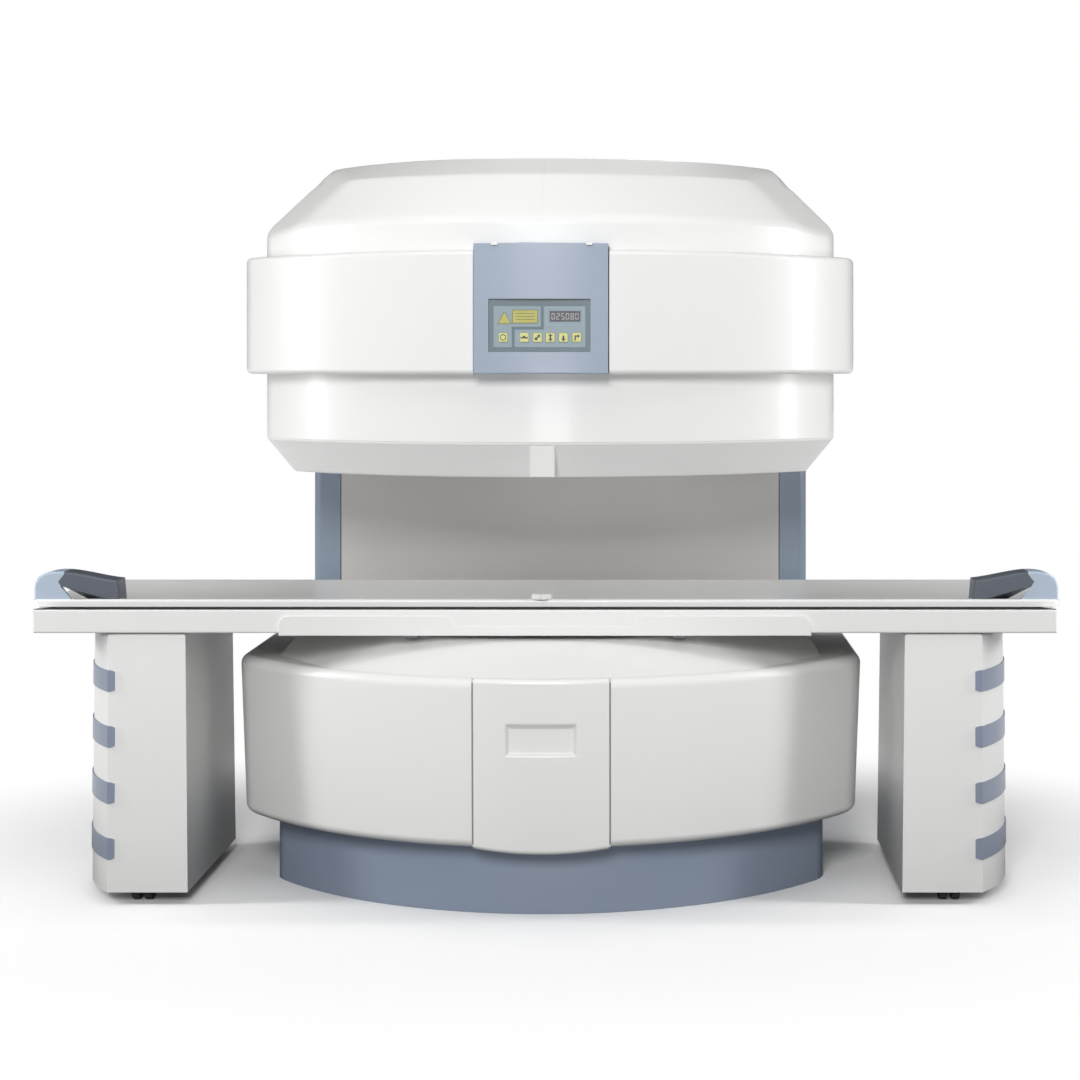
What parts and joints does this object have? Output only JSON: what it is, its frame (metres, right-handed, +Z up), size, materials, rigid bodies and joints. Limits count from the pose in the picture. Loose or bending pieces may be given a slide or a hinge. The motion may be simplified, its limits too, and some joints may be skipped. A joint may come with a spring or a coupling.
{
  "type": "open mri scanner with a side-loading patient table",
  "caption": "Open C-shaped permanent magnet MRI scanner: faceted covers above and below a patient gap, rear column, and a sliding patient table on pedestals with casters.",
  "frame": {"origin": "on the floor, in the middle of the overall box", "axes": "+Z up, +X along the patient table to the right of someone who faces the control panel, +Y from the control panel to the rear column"},
  "size_m": [2.706, 1.5, 1.96],
  "materials": {
    "cover_white": "smooth sprayed moulding",
    "panel_blue": "smooth sprayed moulding",
    "trim_blue": "satin moulded plastic",
    "plinth_blue": "satin paint",
    "yoke_steel": "machined and oiled",
    "magnet_steel": "ground",
    "coil_resin": "cast resin",
    "bolt_steel": "plain",
    "frame_white": "powder coat",
    "tabletop_white": "smooth hard laminate",
    "ledge_black": "satin strip",
    "handle_blue": "satin moulded plastic",
    "keypad_teal": "satin membrane",
    "key_yellow": "satin moulded plastic",
    "display_grey": "clear window over a dark display",
    "lamp_yellow": "coloured lens",
    "laser_white": "smooth moulding",
    "leg_steel": "primer paint",
    "caster_black": "satin moulded plastic",
    "wheel_rubber": "soft tread"
  },
  "bodies": {
    "root": {"base_plinth": "plinth_blue", "yoke_lower_plate": "yoke_steel", "yoke_upper_plate": "yoke_steel", "yoke_column": "yoke_steel", "yoke_bolts": "bolt_steel", "magnet_lower": "magnet_steel", "magnet_upper": "magnet_steel", "pole_shoe_lower": "yoke_steel", "pole_shoe_upper": "yoke_steel", "gradient_coil_lower": "coil_resin", "gradient_coil_upper": "coil_resin", "rf_coil_lower": "coil_resin", "rf_coil_upper": "coil_resin", "lower_cover_left": "cover_white", "lower_cover_right": "cover_white", "hatch_frame": "leg_steel", "lower_pole_cover": "cover_white", "upper_pole_cover": "cover_white", "upper_skirt_cover": "cover_white", "upper_band_left": "cover_white", "upper_band_right": "cover_white", "top_cover": "cover_white", "laser_window": "laser_white", "control_housing": "panel_blue", "keypad_plate": "keypad_teal", "display_window": "display_grey", "indicator_lamps": "lamp_yellow", "column_front_cover": "cover_white", "column_side_left": "trim_blue", "column_side_right": "trim_blue", "column_rear_cover": "cover_white", "cross_rails": "bolt_steel"},
    "front_hatch": {"front_hatch": "cover_white"},
    "bed": {"bed_frame": "frame_white", "bridge_bracket": "frame_white", "ledge_strips": "ledge_black", "pedestal_left": "cover_white", "pedestal_right": "cover_white", "pedestal_stripes_left": "trim_blue", "pedestal_stripes_right": "trim_blue", "leg_frame_left": "leg_steel", "leg_frame_right": "leg_steel"},
    "tabletop": {"tabletop": "tabletop_white", "handle_left": "handle_blue", "handle_right": "handle_blue"},
    "brake_knob": {"brake_knob": "laser_white"},
    "key_1": {"key_1": "key_yellow"},
    "key_2": {"key_2": "key_yellow"},
    "key_3": {"key_3": "key_yellow"},
    "key_4": {"key_4": "key_yellow"},
    "key_5": {"key_5": "key_yellow"},
    "key_6": {"key_6": "key_yellow"},
    "caster_fork_left_front": {"caster_fork_left_front": "caster_black"},
    "caster_wheels_left_front": {"caster_wheels_left_front": "wheel_rubber"},
    "caster_fork_left_rear": {"caster_fork_left_rear": "caster_black"},
    "caster_wheels_left_rear": {"caster_wheels_left_rear": "wheel_rubber"},
    "caster_fork_right_front": {"caster_fork_right_front": "caster_black"},
    "caster_wheels_right_front": {"caster_wheels_right_front": "wheel_rubber"},
    "caster_fork_right_rear": {"caster_fork_right_rear": "caster_black"},
    "caster_wheels_right_rear": {"caster_wheels_right_rear": "wheel_rubber"}
  },
  "joints": [
    {"name": "hatch_pull", "type": "slide", "parent": "root", "child": "front_hatch", "axis": [0, -1, 0], "range_m": [0, 0.25]},
    {"name": "bed_cross_slide", "type": "slide", "parent": "root", "child": "bed", "axis": [0, 1, 0], "range_m": [-0.1, 0.1]},
    {"name": "tabletop_slide", "type": "slide", "parent": "bed", "child": "tabletop", "axis": [1, 0, 0], "range_m": [-0.5, 0.5]},
    {"name": "brake_knob_turn", "type": "hinge", "parent": "tabletop", "child": "brake_knob", "pos_m": [-0.012, -0.48, 0.79], "axis": [0, 0, 1], "range_deg": [-90, 0]},
    {"name": "key_1_press", "type": "slide", "parent": "root", "child": "key_1", "axis": [0, 1, 0], "range_m": [0, 0.001], "stiffness_N_per_m": 400},
    {"name": "key_2_press", "type": "slide", "parent": "root", "child": "key_2", "axis": [0, 1, 0], "range_m": [0, 0.001], "stiffness_N_per_m": 400},
    {"name": "key_3_press", "type": "slide", "parent": "root", "child": "key_3", "axis": [0, 1, 0], "range_m": [0, 0.001], "stiffness_N_per_m": 400},
    {"name": "key_4_press", "type": "slide", "parent": "root", "child": "key_4", "axis": [0, 1, 0], "range_m": [0, 0.001], "stiffness_N_per_m": 400},
    {"name": "key_5_press", "type": "slide", "parent": "root", "child": "key_5", "axis": [0, 1, 0], "range_m": [0, 0.001], "stiffness_N_per_m": 400},
    {"name": "key_6_press", "type": "slide", "parent": "root", "child": "key_6", "axis": [0, 1, 0], "range_m": [0, 0.001], "stiffness_N_per_m": 400},
    {"name": "caster_swivel_left_front", "type": "hinge", "parent": "bed", "child": "caster_fork_left_front", "pos_m": [-1.058, -0.455, 0.09], "axis": [0, 0, 1], "continuous": true},
    {"name": "wheel_spin_left_front", "type": "hinge", "parent": "caster_fork_left_front", "child": "caster_wheels_left_front", "pos_m": [-1.058, -0.483, 0.0375], "axis": [1, 0, 0], "continuous": true},
    {"name": "caster_swivel_left_rear", "type": "hinge", "parent": "bed", "child": "caster_fork_left_rear", "pos_m": [-1.058, -0.039, 0.09], "axis": [0, 0, 1], "continuous": true},
    {"name": "wheel_spin_left_rear", "type": "hinge", "parent": "caster_fork_left_rear", "child": "caster_wheels_left_rear", "pos_m": [-1.058, -0.067, 0.0375], "axis": [1, 0, 0], "continuous": true},
    {"name": "caster_swivel_right_front", "type": "hinge", "parent": "bed", "child": "caster_fork_right_front", "pos_m": [1.058, -0.455, 0.09], "axis": [0, 0, 1], "continuous": true},
    {"name": "wheel_spin_right_front", "type": "hinge", "parent": "caster_fork_right_front", "child": "caster_wheels_right_front", "pos_m": [1.058, -0.483, 0.0375], "axis": [1, 0, 0], "continuous": true},
    {"name": "caster_swivel_right_rear", "type": "hinge", "parent": "bed", "child": "caster_fork_right_rear", "pos_m": [1.058, -0.039, 0.09], "axis": [0, 0, 1], "continuous": true},
    {"name": "wheel_spin_right_rear", "type": "hinge", "parent": "caster_fork_right_rear", "child": "caster_wheels_right_rear", "pos_m": [1.058, -0.067, 0.0375], "axis": [1, 0, 0], "continuous": true}
  ]
}
